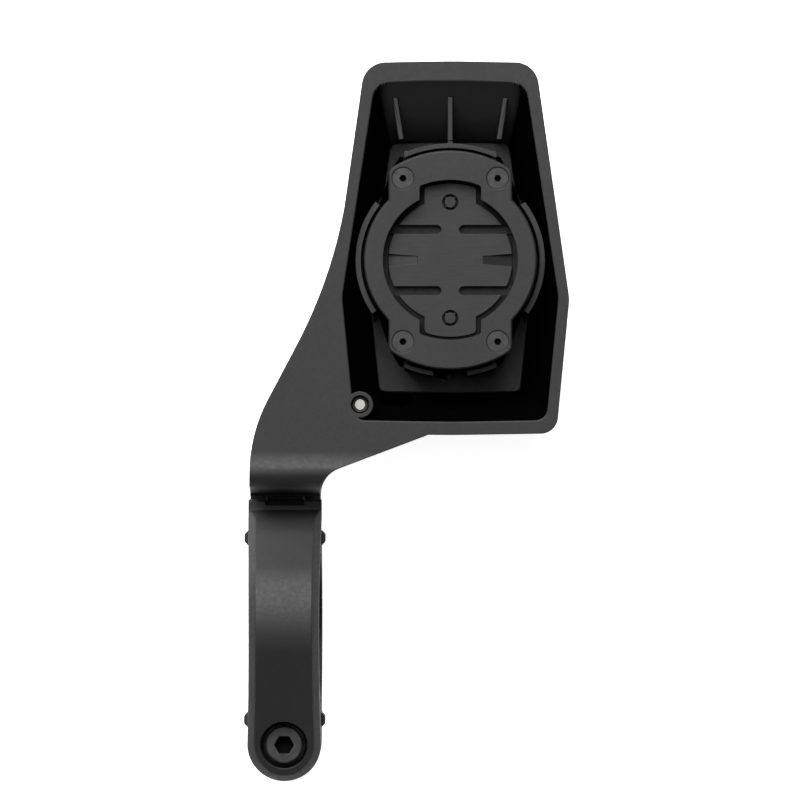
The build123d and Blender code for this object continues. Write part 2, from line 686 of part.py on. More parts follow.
def floor_dimples():
    """Shallow ejector slots at the ends of the guard walls, and one round vent."""
    low, high = FLOOR_Z - DIMPLE_DEPTH, FLOOR_Z + OVER
    places = []
    for x in (END_GUARD_HALF_W + 0.5, REAR_GUARD_SPLIT - 0.45):
        y = sqrt(END_GUARD[0] ** 2 - x ** 2)
        places += [(side * x, -y) for side in (-1, 1)]
    front_x = END_GUARD_HALF_W + 0.5
    front_y = sqrt(END_GUARD[0] ** 2 - front_x ** 2)
    places += [(side * front_x, front_y) for side in (-1, 1)]
    end = radians(SIDE_GUARD_DEG[0] - 2.6)
    side_r = SIDE_GUARD[1] - 0.2
    places += [(side * side_r * cos(end), side_r * sin(end)) for side in (-1, 1)]
    cuts = post(COWL_X, REC_Y - END_GUARD[1] + 0.25, FLOOR_Z - VENT_DEPTH, high, VENT_R)
    for x, y in places:
        cuts += block(COWL_X + x - DIMPLE_W / 2, COWL_X + x + DIMPLE_W / 2,
                      REC_Y + y - DIMPLE_L / 2, REC_Y + y + DIMPLE_L / 2, low, high)
    return cuts


def locator(side):
    """Locating post with four crush ribs, standing in the detent plate's hole."""
    y = REC_Y + side * LOCATOR_Y
    pin = post(COWL_X, y, PEDESTAL_Z - OVER, ISLAND_Z - 0.1, LOCATOR_R)
    rib_out, rib_t = LOCATOR_RIB
    for angle in (45, 135):
        rib = Box(2 * (LOCATOR_R + rib_out), rib_t, ISLAND_Z - PEDESTAL_Z - 0.4)
        pin += Pos(COWL_X, y, (ISLAND_Z + PEDESTAL_Z) / 2 - 0.2) * Rot(0, 0, angle) * rib
    return pin


def tower():
    """Raised core under the ring plate, hollow from below, with its recess on top."""
    core = barrel(TOWER_INSET, FLOOR_Z, RING_Z)
    core -= post(COWL_X, REC_Y, PEDESTAL_Z, RING_Z + OVER, RECESS_R)
    for side in (-1, 1):
        ends = sorted((COWL_X + side * TONGUE_ROOT_X, COWL_X + side * ISLAND_R))
        core -= block(*ends, REC_Y - LOBE_HALF_W, REC_Y + LOBE_HALF_W,
                      PEDESTAL_Z - TONGUE_RELIEF, PEDESTAL_Z + OVER)
        core += locator(side)
    return core


def tower_hollow():
    """Moulding space inside the tower, leaving screw bosses and two cross webs."""
    roof = PEDESTAL_Z - TONGUE_RELIEF - TOWER_ROOF
    space = barrel(TOWER_INSET + TOWER_WALL, BELLY_Z - OVER, roof)
    for x, y in ring_screw_places():
        space -= post(x, y, BELLY_Z - 2 * OVER, RING_Z, INSERT_R + INSERT_WALL)
    t, reach = TOWER_WEB_T / 2, BARREL_R
    space -= block(COWL_X - t, COWL_X + t, REC_Y - reach, REC_Y + reach, BELLY_Z + OVER, RING_Z)
    space -= block(COWL_X - reach, COWL_X + reach, REC_Y - t, REC_Y + t, BELLY_Z + OVER, RING_Z)
    return space


def receiver_base():
    """Floor plate with the tower and its guard walls."""
    plate_face = cowl_face((BELLY_Z, *FLOOR_SECTION[1:]), PLATE_LAP)
    base = extrude(plate_face, PLATE_T - PLATE_FIT)
    plug_face = cowl_face((BELLY_Z, *FLOOR_SECTION[1:]), -BASE_FIT)
    base += extrude(plug_face, FLOOR_Z - BELLY_Z)
    base += post(COWL_X, REC_Y, BELLY_Z + PLATE_T, FLOOR_Z, POCKET_BULGE_R - BASE_FIT)
    base += tower()
    base += side_guards()
    base += end_guards()
    base += guard_webs()
    stub_end = REC_Y + FLOOR_SECTION[1] - BASE_FIT
    base += block(COWL_X - RIB_T / 2, COWL_X + RIB_T / 2,
                  REC_Y + END_GUARD[1] - 0.4, stub_end, FLOOR_Z, GUARD_Z)
    base -= tower_hollow()
    base -= drain_gap()
    base -= post(LOCK_X, LOCK_Y, BELLY_Z - OVER, RIM_Z, LOCK_BOSS_R + BASE_FIT)
    base -= floor_dimples()
    for x, y in ring_screw_places():
        base -= post(x, y, RING_Z - INSERT_L, RING_Z + OVER, INSERT_R)
        base -= post(x, y, RING_Z - INSERT_L - PILOT_L, RING_Z, RING_SCREW_R + SHANK_GAP)
    for x, y in belly_screw_places():
        base -= post(x, y, BELLY_Z - OVER, FLOOR_Z, BELLY_SCREW_R + THREAD_GAP)
        base -= belly_head(x, y, PLATE_FIT)
    return base


# ------------------------------------------------------------ ring, detent
def ring_screw_places():
    """Centres of the four ring screws."""
    return [(COWL_X + sx * RING_SCREW_X, REC_Y + sy * RING_SCREW_Y)
            for sy in (1, -1) for sx in (-1, 1)]


def belly_screw_places():
    """Centres of the four belly screws."""
    return [(COWL_X + x, REC_Y + y) for x, y in BELLY_SCREWS]


def countersunk(x, y, z_top, head_r, head_h, shank_r, length):
    """Countersunk screw blank, head upward."""
    cone = Pos(x, y, z_top - head_h) * Cone(
        shank_r, head_r, head_h, align=(Align.CENTER, Align.CENTER, Align.MIN)
    )
    return cone + post(x, y, z_top - length, z_top - head_h, shank_r)


def bayonet_ring():
    """Twist-lock plate: round mouth with a fore and an aft notch."""
    ring = barrel(0, RING_Z, RING_TOP_Z)
    rim = [e for e in ring.edges() if e.center().Z > RING_TOP_Z - 0.01
           and abs(e.tangent_at(0.5).Z) < 0.1]
    ring = chamfer(rim, RING_EDGE)
    low, high = RING_Z - OVER, RING_TOP_Z + OVER
    mouth = post(COWL_X, REC_Y, low, high, MOUTH_R)
    notch = post(COWL_X, REC_Y, low, high, NOTCH_R)
    notch &= block(COWL_X - NOTCH_HALF_W, COWL_X + NOTCH_HALF_W,
                   REC_Y - NOTCH_R - OVER, REC_Y + NOTCH_R + OVER, low, high)
    notch = fillet(notch.edges().filter_by(Axis.Z), NOTCH_CORNER_R)
    ring -= mouth + notch
    for x, y in ring_screw_places():
        ring -= countersunk(x, y, RING_TOP_Z + PLATE_FIT, RING_HEAD_R + RING_HEAD_GAP,
                            RING_HEAD_H + RING_HEAD_SINK, RING_SCREW_R + SHANK_GAP,
                            RING_SCREW_LEN)
    return ring


def detent_plate():
    """Plate inside the ring, with a flexible tongue and a detent groove each side."""
    plate = post(COWL_X, REC_Y, PEDESTAL_Z, FLANGE_Z, RECESS_R - RECESS_GAP)
    lobes = post(COWL_X, REC_Y, PEDESTAL_Z, ISLAND_Z, LOBE_R)
    lobes &= block(COWL_X - LOBE_HALF_W, COWL_X + LOBE_HALF_W,
                   REC_Y - LOBE_R - OVER, REC_Y + LOBE_R + OVER, PEDESTAL_Z, ISLAND_Z)
    lobes = fillet(lobes.edges().filter_by(Axis.Z), LOBE_CORNER_R)
    plate += lobes + post(COWL_X, REC_Y, PEDESTAL_Z, ISLAND_Z, ISLAND_R)
    low, high = PEDESTAL_Z - OVER, ISLAND_Z + OVER
    for side in (-1, 1):
        plate -= tongue_cuts(side, low, high)
        plate -= detent_groove(side)
        plate -= post(COWL_X, REC_Y + side * LOCATOR_Y, low, high, LOCATOR_HOLE_R)
    return plate


def tongue_cuts(side, low, high):
    """Two slots and the side clearance that free one tongue."""
    half = SLOT_Y + SLOT_W / 2
    start = COWL_X + side * SLOT_INNER_X
    end = COWL_X + side * (RECESS_R + 2 * OVER)
    cuts = ring_band(ISLAND_R, RECESS_R + 2 * OVER, low, high)
    cuts &= block(*sorted((COWL_X, end)), REC_Y - half, REC_Y + half, low, high)
    for row in (-1, 1):
        y = REC_Y + row * SLOT_Y
        cuts += block(*sorted((start, end)), y - SLOT_W / 2, y + SLOT_W / 2, low, high)
        cuts += post(start, y, low, high, SLOT_W / 2)
    return cuts


def detent_groove(side):
    """Tapered groove that gets deeper outwards."""
    outer_w, inner_w = DETENT_HALF_W
    outer = COWL_X + side * (ISLAND_R + 0.6)
    inner = COWL_X + side * DETENT_INNER_X
    top = ISLAND_Z + 0.5
    end_faces = []
    for x, half_w, z in ((outer, outer_w, ISLAND_Z - DETENT_DEPTH),
                         (inner, inner_w, ISLAND_Z - 0.05)):
        points = [(REC_Y - half_w, z), (REC_Y + half_w, z), (REC_Y + half_w, top),
                  (REC_Y - half_w, top)]
        end_faces.append(polygon(points, Plane.YZ.offset(x)))
    return loft(end_faces, ruled=True)


def ring_screw(x, y):
    """Countersunk hex screw of the ring."""
    top = RING_TOP_Z - RING_HEAD_SINK
    screw = countersunk(x, y, top, RING_HEAD_R, RING_HEAD_H, RING_SCREW_R, RING_SCREW_LEN)
    return screw - hex_prism(x, y, top - RING_HEX_DEPTH, top + OVER, RING_HEX)


def ring_insert(x, y):
    """Threaded brass insert in the tower."""
    insert = post(x, y, RING_Z - INSERT_L, RING_Z - 0.02, INSERT_R)
    return insert - post(x, y, RING_Z - INSERT_L - OVER, RING_Z + OVER, INSERT_BORE_R)


def belly_head(x, y, gap):
    """Low round head of a belly screw, let into the floor plate."""
    return post(x, y, BELLY_Z - gap, BELLY_Z + BELLY_HEAD_H, BELLY_HEAD_R + gap)


def belly_screw(x, y):
    """Screw from below through the floor plate into the cowl's wall."""
    screw = belly_head(x, y, 0)
    screw += post(x, y, BELLY_Z, BELLY_Z + BELLY_SCREW_LEN, BELLY_SCREW_R - 0.02)
    return screw - hex_prism(x, y, BELLY_Z - OVER, BELLY_Z + BELLY_HEX_DEPTH, RING_HEX)


# ------------------------------------------------------- clamp small parts
def bar_pad(side):
    """Rubber liner: 1 for the strap's, -1 for the lower jaw's."""
    tube = rod_x(0, 0, CLAMP_R, -PAD_W / 2, PAD_W / 2)
    tube -= rod_x(0, 0, BAR_R, -BIG, BIG)
    reach = 2 * CLAMP_R
    front_deg, rear_deg = PAD_END_DEG[side]
    points = [(0, 0), (reach, reach * tan(radians(front_deg))), (reach, side * reach),
              (-reach, side * reach), (-reach, reach * tan(radians(rear_deg)))]
    return tube & extrude(polygon(points, Plane.YZ.offset(-PAD_W / 2)), PAD_W)


def hinge_pin():
    """Steel pin of the strap hinge."""
    return rod_x(PIN_Y, PIN_Z, PIN_R, -PIN_L / 2, PIN_L / 2)


def clamp_nut():
    """Captive hexagon nut under the clamp screw."""
    nut = hex_prism(0, SCREW_Y, NUT_TOP_Z - NUT_T, NUT_TOP_Z, NUT_AF)
    return nut - post(0, SCREW_Y, -BIG, BIG, THREAD_R)


def clamp_washer():
    """Plain washer in the strap's counterbore."""
    washer = post(0, SCREW_Y, COUNTERBORE_Z, COUNTERBORE_Z + WASHER_T, WASHER_R)
    return washer - post(0, SCREW_Y, -BIG, BIG, SCREW_R + THREAD_GAP)


def clamp_screw():
    """Socket head cap screw of the clamp."""
    seat = COUNTERBORE_Z + WASHER_T
    top = seat + CAP_H
    head = post(0, SCREW_Y, seat, top, CAP_R)
    head = fillet(head.edges().group_by(Axis.Z)[-1], CAP_EDGE_R)
    screw = head + post(0, SCREW_Y, seat - SCREW_LEN, seat, SCREW_R)
    return screw - hex_prism(0, SCREW_Y, top - CAP_HEX_DEPTH, top + OVER, CAP_HEX)


def lock_insert():
    """Brass insert in the lock boss."""
    low, high = LOCK_INSERT_Z
    insert = post(LOCK_X, LOCK_Y, low, high, LOCK_MOUTH_R)
    return insert - post(LOCK_X, LOCK_Y, low - OVER, high + OVER, LOCK_SCREW_R + LOCK_RUN_GAP)


def lock_screw():
    """Lock screw, driven up from below; its tip shows in the boss."""
    foot = LOCK_HEAD_TOP - LOCK_HEAD_H
    screw = post(LOCK_X, LOCK_Y, LOCK_HEAD_TOP, LOCK_TIP_Z, LOCK_SCREW_R)
    screw += post(LOCK_X, LOCK_Y, foot, LOCK_HEAD_TOP, LOCK_HEAD_R)
    return screw - hex_prism(LOCK_X, LOCK_Y, foot - OVER, foot + RING_HEX_DEPTH, RING_HEX)


def all_nodes():
    """Every node by name."""
    nodes = {
        "mount_body": mount_body(),
        "receiver_base": receiver_base(),
        "bayonet_ring": bayonet_ring(),
        "detent_plate": detent_plate(),
        "clamp_strap": clamp_strap(),
        "upper_bar_pad": bar_pad(1),
        "lower_bar_pad": bar_pad(-1),
        "hinge_pin": hinge_pin(),
        "clamp_screw": clamp_screw(),
        "clamp_washer": clamp_washer(),
        "clamp_nut": clamp_nut(),
        "lock_insert": lock_insert(),
        "lock_screw": lock_screw(),
    }
    for number, (x, y) in enumerate(ring_screw_places(), start=1):
        nodes[f"ring_screw_{number}"] = ring_screw(x, y)
        nodes[f"ring_insert_{number}"] = ring_insert(x, y)
    for number, (x, y) in enumerate(belly_screw_places(), start=1):
        nodes[f"belly_screw_{number}"] = belly_screw(x, y)
    return nodes


os.makedirs("parts", exist_ok=True)
for node_name, solid in all_nodes().items():
    export_step(solid, f"parts/{node_name}.step")
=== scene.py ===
import json
from math import cos, pi, radians, sin

import bmesh
import bpy
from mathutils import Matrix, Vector


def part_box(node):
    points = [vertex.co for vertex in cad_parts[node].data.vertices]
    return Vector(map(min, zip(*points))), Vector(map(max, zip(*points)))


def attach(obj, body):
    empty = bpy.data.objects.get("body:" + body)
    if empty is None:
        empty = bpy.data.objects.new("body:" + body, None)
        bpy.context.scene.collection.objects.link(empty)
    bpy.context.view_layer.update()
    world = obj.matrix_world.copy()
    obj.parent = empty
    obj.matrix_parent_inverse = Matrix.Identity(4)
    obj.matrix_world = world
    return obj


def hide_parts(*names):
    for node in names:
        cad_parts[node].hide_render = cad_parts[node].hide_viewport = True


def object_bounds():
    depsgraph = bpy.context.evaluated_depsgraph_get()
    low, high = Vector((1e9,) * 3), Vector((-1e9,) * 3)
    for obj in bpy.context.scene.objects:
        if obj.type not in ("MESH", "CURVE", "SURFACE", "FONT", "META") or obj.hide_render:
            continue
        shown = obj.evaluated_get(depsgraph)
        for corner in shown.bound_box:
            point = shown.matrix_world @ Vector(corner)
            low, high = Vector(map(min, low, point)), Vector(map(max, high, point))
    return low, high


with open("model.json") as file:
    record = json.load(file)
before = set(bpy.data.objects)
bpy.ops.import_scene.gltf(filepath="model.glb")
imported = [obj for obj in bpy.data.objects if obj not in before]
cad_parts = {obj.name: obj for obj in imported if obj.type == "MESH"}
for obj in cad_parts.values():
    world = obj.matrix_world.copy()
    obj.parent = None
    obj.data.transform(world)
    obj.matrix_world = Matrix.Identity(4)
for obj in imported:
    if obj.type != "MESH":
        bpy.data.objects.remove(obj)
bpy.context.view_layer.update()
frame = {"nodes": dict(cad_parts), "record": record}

MM = 0.001

# ------------------------------------------------- sizes shared with the CAD
BAR_R = 15.9 * MM
CLAMP_R = 16.7 * MM
COWL_CENTRE = Vector((38.5, 85.2, 0.0)) * MM
RIM_Z = 13.0 * MM
FLOOR_TOP_Z = -5.0 * MM
ISLAND_Z = 10.6 * MM
ISLAND_R = 14.4 * MM
RECESS_R = 18.75 * MM
CAP_SEAT_Z = 7.4 * MM
CAP_HEAD_H = 5.0 * MM
PAD_END_DEG = {"upper_bar_pad": (-4.0, 9.5), "lower_bar_pad": (-12.5, -2.0)}
RING_SCREWS = [f"ring_screw_{n}" for n in range(1, 5)]
BELLY_SCREWS = [f"belly_screw_{n}" for n in range(1, 5)]
RING_INSERTS = [f"ring_insert_{n}" for n in range(1, 5)]

# ----------------------------------------------------- edges and smooth faces
EDGE_W = {"mount_body": 0.22 * MM, "receiver_base": 0.12 * MM, "bayonet_ring": 0.1 * MM,
          "detent_plate": 0.1 * MM, "clamp_strap": 0.25 * MM, "hinge_pin": 0.2 * MM,
          "clamp_screw": 0.08 * MM, "lock_screw": 0.12 * MM}
EDGE_SEGMENTS = 2
EDGE_LIMIT_DEG = 38.0
FLATS_WEIGHT = 100
SMOOTH_DEG = 32.0
CRISP_DEG = 25.0
MERGE_GAP = 0.002 * MM
SLIVER = 0.004 * MM
FLAT_DEG = 0.4

# ---------------------------------------- where the painted shade begins
POCKET_REACH_X = 26.5 * MM
POCKET_REACH_Y = 46.5 * MM
POCKET_SINK = 0.5 * MM
RIM_STRIP = 0.25 * MM
INWARD_SHARE = 0.45
FLANGE_DROP = 0.1 * MM
DETENT_START = 7.5 * MM
DETENT_HALF_W = 1.6 * MM
DETENT_DROP = 0.04 * MM
RECESS_FOOT_Z = 8.0 * MM
RECESS_DROP = 0.6 * MM
SOCKET_LIP = 0.04 * MM
SOCKET_SLACK = 0.05 * MM

# ---------- screws, knurls, inserts and washer: lengths here in millimetres
HEX_CORNER = 0.5 / cos(pi / 6)
RING_SCREW = {"Head Top Radius": 2.43, "Head Foot Radius": 1.1, "Head Height": 1.5,
              "Shank Radius": 0.98, "Length": 8.0, "Socket Corner Radius": 1.5 * HEX_CORNER,
              "Socket Depth": 1.3, "Thread Pitch": 0.45, "Plain Shank": 0.3}
BELLY_SCREW = {"Head Top Radius": 1.98, "Head Foot Radius": 1.98, "Head Height": 1.1,
               "Shank Radius": 0.95, "Length": 5.7, "Socket Corner Radius": 1.5 * HEX_CORNER,
               "Socket Depth": 0.8, "Thread Pitch": 0.45, "Plain Shank": 0.3}
CAP_KNURL = {"Radius": 4.19, "Height": 3.7, "Ridge Radius": 0.12}
CAP_THREAD = {"Radius": 2.08, "Length": 10.4, "Pitch": 0.8, "Ridge Radius": 0.26}
LOCK_THREAD = {"Radius": 1.235, "Length": 12.0, "Pitch": 0.5, "Ridge Radius": 0.05}
CAP_KNURLS = 64
INSERT_KNURLS = 36
INSERT_RIDGE_R = 0.11
INSERT_CUT_BACK = 0.12
INSERT_EDGE = 0.25
INSERT_STEPS = 48
WASHER_BORE_R = 2.2
WASHER_R = 5.0
WASHER_EDGE = 0.18
WASHER_STEPS = 72
HEAD_SIDES = 48
SHANK_SIDES = 32
THREAD_STEPS = 24
RIDGE_SHARE = 0.3

# ----------------------------------- cap screw, sockets, nut and bar pads
CAP_KNURL_SHARE = 0.46
CAP_PLAIN = 3.2 * MM
CAP_SOCKET_R = 2.35 * MM
CAP_SOCKET_D = 2.65 * MM
RING_SOCKET_R = 0.9 * MM
RING_SOCKET_D = 1.3 * MM
LOCK_TIP = 0.5 * MM
LOCK_SOCKET_TOP = 1.35 * MM
LOCK_SOCKET_R = 0.95 * MM
LOCK_SOCKET_D = 1.3 * MM
NUT_HALF_W = 4.0 * MM
NUT_BORE_R = 2.5 * MM
NUT_CHAMFER = 0.35 * MM
NUT_FACE_SHARE = 1.02
NUT_STEPS = 48
PAD_RIBS = 62
PAD_RIB_DEPTH = 0.16 * MM
PAD_EDGE = 0.25 * MM
PAD_SEAT_GAP = 0.01 * MM

# --------------------------------------------- studio: lengths in metres
VIEW_CENTRE = Vector((26.85, 52.78, 0.0)) * MM
VIEW_WIDTH = 185.19 * MM
CAMERA_DISTANCE = 1.6
SENSOR = 36.0
NEAREST = 0.05
FARTHEST = 20.0
KEY_SIZE = (1.2, 1.0)
KEY_PLACE = (-0.24, 1.02, 1.0)
KEY_RADIANCE = 10.8
OVERHEAD_SIZE = (0.7, 0.7)
OVERHEAD_PLACE = (0.0, 0.42, 1.42)
OVERHEAD_RADIANCE = 3.0
FILL_SIZE = (0.9, 0.5)
FILL_REACH = 1.2
FILL_Z = 0.22
FILL_RADIANCE = 0.7
FILL_SIDES = {"left_fill": (-1, 0), "right_fill": (1, 0), "rear_fill": (0, -1)}
WORLD_STRENGTH = 0.03
FLOOR_SIZE = 5.0
FLOOR_CENTRE = (0.03, 0.05)
FLOOR_GAP = 0.6 * MM
FLOOR_GLOW = 0.9
WHITE = (1, 1, 1, 1)


# ------------------------------------------------------------------ studio
def add_camera():
    """Camera straight above the mount, sized to the view's width at the rim."""
    data = bpy.data.cameras.new("studio_camera")
    data.sensor_width = SENSOR
    data.lens = SENSOR * CAMERA_DISTANCE / VIEW_WIDTH
    data.clip_start = NEAREST
    data.clip_end = FARTHEST
    camera = bpy.data.objects.new("studio_camera", data)
    camera.location = (VIEW_CENTRE.x, VIEW_CENTRE.y, RIM_Z + CAMERA_DISTANCE)
    bpy.context.collection.objects.link(camera)
    bpy.context.scene.camera = camera


def add_softbox(name, size, location, radiance):
    """Rectangular softbox that faces the mount, given by how bright its face is."""
    data = bpy.data.lights.new(name, "AREA")
    data.shape = "RECTANGLE"
    data.size, data.size_y = size
    data.energy = radiance * pi * size[0] * size[1]
    light = bpy.data.objects.new(name, data)
    light.location = location
    direction = VIEW_CENTRE - Vector(location)
    light.rotation_euler = direction.to_track_quat("-Z", "Y").to_euler()
    bpy.context.collection.objects.link(light)


def add_lights():
    """Key from the front left, a soft top light and three low fills."""
    add_softbox("key_softbox", KEY_SIZE, KEY_PLACE, KEY_RADIANCE)
    add_softbox("overhead_softbox", OVERHEAD_SIZE, OVERHEAD_PLACE, OVERHEAD_RADIANCE)
    for name, (x, y) in FILL_SIDES.items():
        place = (x * FILL_REACH, y * FILL_REACH, FILL_Z)
        add_softbox(name, FILL_SIZE, place, FILL_RADIANCE)


def add_world():
    """Faint even light from all round."""
    world = bpy.data.worlds.new("studio")
    world.use_nodes = True
    background = world.node_tree.nodes["Background"]
    background.inputs["Color"].default_value = WHITE
    background.inputs["Strength"].default_value = WORLD_STRENGTH
    bpy.context.scene.world = world


def add_floor():
    """Pale floor just under the mount, which gives off some light itself."""
    place = (*FLOOR_CENTRE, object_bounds()[0][2] - FLOOR_GAP)
    bpy.ops.mesh.primitive_plane_add(size=FLOOR_SIZE, location=place)
    floor = bpy.context.object
    floor.name = "floor"
    pale = Finish("pale_floor", (0.92, 0.92, 0.92), roughness=0.7)
    pale.shader.inputs["Emission Color"].default_value = WHITE
    pale.shader.inputs["Emission Strength"].default_value = FLOOR_GLOW
    floor.data.materials.append(pale.material)


# --------------------------------------------------------------- materials
class Finish:
    """A principled surface whose details are worked out from object coordinates."""

    def __init__(self, name, colour, roughness, metallic=0.0, specular=0.5):
        self.material = bpy.data.materials.new(name)
        self.material.use_nodes = True
        self.tree = self.material.node_tree
        self.shader = self.tree.nodes["Principled BSDF"]
        self.shader.inputs["Base Color"].default_value = (*colour, 1)
        self.shader.inputs["Roughness"].default_value = roughness
        self.shader.inputs["Metallic"].default_value = metallic
        self.shader.inputs["Specular IOR Level"].default_value = specular
        self.colour = colour
        self.roughness = roughness
        self.place = self.tree.nodes.new("ShaderNodeTexCoord").outputs["Object"]
        self.bump_out = None

    def link(self, source, target):
        """Joins one node's output to another's input."""
        self.tree.links.new(source, target)

    def stretched(self, scale):
        """The surface's place, with each axis scaled."""
        mapping = self.tree.nodes.new("ShaderNodeMapping")
        mapping.inputs["Scale"].default_value = scale
        self.link(self.place, mapping.inputs["Vector"])
        return mapping.outputs["Vector"]

    def noise(self, size, detail=2.0, scale=(1, 1, 1)):
        """Noise whose blotches are about `size` metres across."""
        noise = self.tree.nodes.new("ShaderNodeTexNoise")
        noise.inputs["Scale"].default_value = 1.0 / size
        noise.inputs["Detail"].default_value = detail
        self.link(self.stretched(scale), noise.inputs["Vector"])
        return noise.outputs["Fac"]

    def spread(self, value, low, high, middle=(0.35, 0.65)):
        """Stretches the value's middle range to run from low to high."""
        span = self.tree.nodes.new("ShaderNodeMapRange")
        span.inputs["From Min"].default_value = middle[0]
        span.inputs["From Max"].default_value = middle[1]
        span.inputs["To Min"].default_value = low
        span.inputs["To Max"].default_value = high
        self.link(value, span.inputs["Value"])
        return span.outputs["Result"]

    def mottle(self, value, amount):
        """Colour that wanders by a share of itself."""
        mix = self.tree.nodes.new("ShaderNodeMix")
        mix.data_type = "RGBA"
        low = [c * (1 - amount) for c in self.colour]
        high = [c * (1 + amount) for c in self.colour]
        mix.inputs["A"].default_value = (*low, 1)
        mix.inputs["B"].default_value = (*high, 1)
        self.link(self.spread(value, 0.0, 1.0), mix.inputs["Factor"])
        self.link(mix.outputs["Result"], self.shader.inputs["Base Color"])

    def gloss(self, value, amount):
        """Roughness that wanders by an amount either way."""
        result = self.spread(value, self.roughness - amount, self.roughness + amount)
        self.link(result, self.shader.inputs["Roughness"])

    def relief(self, value, depth, strength=1.0):
        """Bump of a given depth in metres, laid over any earlier one."""
        bump = self.tree.nodes.new("ShaderNodeBump")
        bump.inputs["Distance"].default_value = depth
        bump.inputs["Strength"].default_value = strength
        self.link(value, bump.inputs["Height"])
        if self.bump_out:
            self.link(self.bump_out, bump.inputs["Normal"])
        self.bump_out = bump.outputs["Normal"]
        self.link(self.bump_out, self.shader.inputs["Normal"])


NYLON = (0.008, 0.008, 0.0083)
SPARK_GRAIN = 0.32 * MM
SPARK_DEPTH = 0.02 * MM
# Painted light: lighter colour for the cowl's front inner wall, blended in by how far the wall
# faces backwards (the normal range below).
FRONT_WALL_PAINTED_LIGHT = (0.05, 0.05, 0.051, 1)
FRONT_FACING = (-0.78, -0.5)


def moulded_nylon():
    """Glass-filled nylon: fine spark-eroded grain with faint flow mottling."""
    finish = Finish("moulded_nylon", NYLON, roughness=0.62)
    flow = finish.noise(size=14 * MM, detail=4.0, scale=(1.0, 0.6, 1.0))
    fibres = finish.noise(size=0.9 * MM, detail=3.0)
    grain = finish.noise(size=SPARK_GRAIN, detail=3.0)
    waves = finish.noise(size=2.6 * MM)
    finish.mottle(flow, amount=0.16)
    finish.gloss(fibres, amount=0.035)
    finish.relief(grain, depth=SPARK_DEPTH, strength=0.55)
    finish.relief(waves, depth=0.03 * MM, strength=0.2)
    return finish.material


def painted_shade_nylon(name, specular):
    """Darker nylon with less gloss: painted shade for the foot of a groove or slot."""
    finish = Finish(name, (0.006, 0.006, 0.0062), roughness=0.7, specular=specular)
    finish.mottle(finish.noise(size=3 * MM, detail=3.0), amount=0.15)
    finish.gloss(finish.noise(size=0.9 * MM), amount=0.05)
    finish.relief(finish.noise(size=SPARK_GRAIN, detail=3.0), depth=SPARK_DEPTH, strength=0.5)
    return finish.material


def painted_shade_cavity_wall():
    """Painted shade for the cowl's inner walls: near black and without gloss, with painted light
    on its front wall, which faces the bar.
    """
    finish = Finish("painted_shade_cavity_wall", (0.0008, 0.0008, 0.0008), roughness=0.9, specular=0.0)
    facing = finish.tree.nodes.new("ShaderNodeNewGeometry").outputs["Normal"]
    split = finish.tree.nodes.new("ShaderNodeSeparateXYZ")
    finish.link(facing, split.inputs["Vector"])
    front = finish.spread(split.outputs["Y"], 1.0, 0.0, FRONT_FACING)
    mix = finish.tree.nodes.new("ShaderNodeMix")
    mix.data_type = "RGBA"
    mix.inputs["A"].default_value = (*finish.colour, 1)
    mix.inputs["B"].default_value = FRONT_WALL_PAINTED_LIGHT
    finish.link(front, mix.inputs["Factor"])
    finish.link(mix.outputs["Result"], finish.shader.inputs["Base Color"])
    finish.relief(finish.noise(size=SPARK_GRAIN, detail=3.0), depth=SPARK_DEPTH, strength=0.4)
    return finish.material


def pressed_acetal():
    """Smoother acetal of the detent plate, with faint tool marks across it."""
    finish = Finish("pressed_acetal", NYLON, roughness=0.58)
    marks = finish.noise(size=0.5 * MM, scale=(0.12, 1.0, 1.0))
    finish.mottle(finish.noise(size=6 * MM, detail=3.0), amount=0.15)
    finish.gloss(marks, amount=0.05)
    finish.relief(marks, depth=0.012 * MM, strength=0.35)
    return finish.material


def ribbed_rubber():
    """Dull rubber of the bar pads."""
    finish = Finish("ribbed_rubber", (0.014, 0.014, 0.014), roughness=0.82, specular=0.35)
    finish.mottle(finish.noise(size=5 * MM, detail=3.0), amount=0.2)
    finish.gloss(finish.noise(size=1.4 * MM), amount=0.06)
    finish.relief(finish.noise(size=0.25 * MM), depth=0.02 * MM, strength=0.6)
    return finish.material


def black_oxide():
    """Oiled black oxide on alloy steel."""
    finish = Finish("black_oxide", (0.03, 0.0295, 0.029), roughness=0.5, metallic=0.3)
    finish.mottle(finish.noise(size=1.6 * MM, detail=4.0), amount=0.25)
    finish.gloss(finish.noise(size=0.7 * MM, detail=3.0), amount=0.08)
    finish.relief(finish.noise(size=0.2 * MM), depth=0.008 * MM, strength=0.5)
    return finish.material


def turned_stainless():
    """Turned stainless steel with fine lines round its axis."""
    finish = Finish("turned_stainless", (0.48, 0.47, 0.45), roughness=0.34, metallic=1.0)
    lines = finish.noise(size=0.9 * MM, scale=(1.0, 1.0, 14.0))
    finish.mottle(finish.noise(size=2.5 * MM, detail=3.0), amount=0.1)
    finish.gloss(lines, amount=0.07)
    finish.relief(lines, depth=0.006 * MM, strength=0.4)
    return finish.material


def brass_in_painted_shade():
    """Brass of the threaded inserts, darkened far below bright brass: painted shade of the bores
    they sit in.
    """
    finish = Finish("brass_in_painted_shade", (0.055, 0.05, 0.03), roughness=0.5, metallic=0.8)
    finish.mottle(finish.noise(size=1.2 * MM, detail=4.0), amount=0.25)
    finish.gloss(finish.noise(size=0.5 * MM), amount=0.08)
    finish.relief(finish.noise(size=0.15 * MM), depth=0.006 * MM, strength=0.5)
    return finish.material


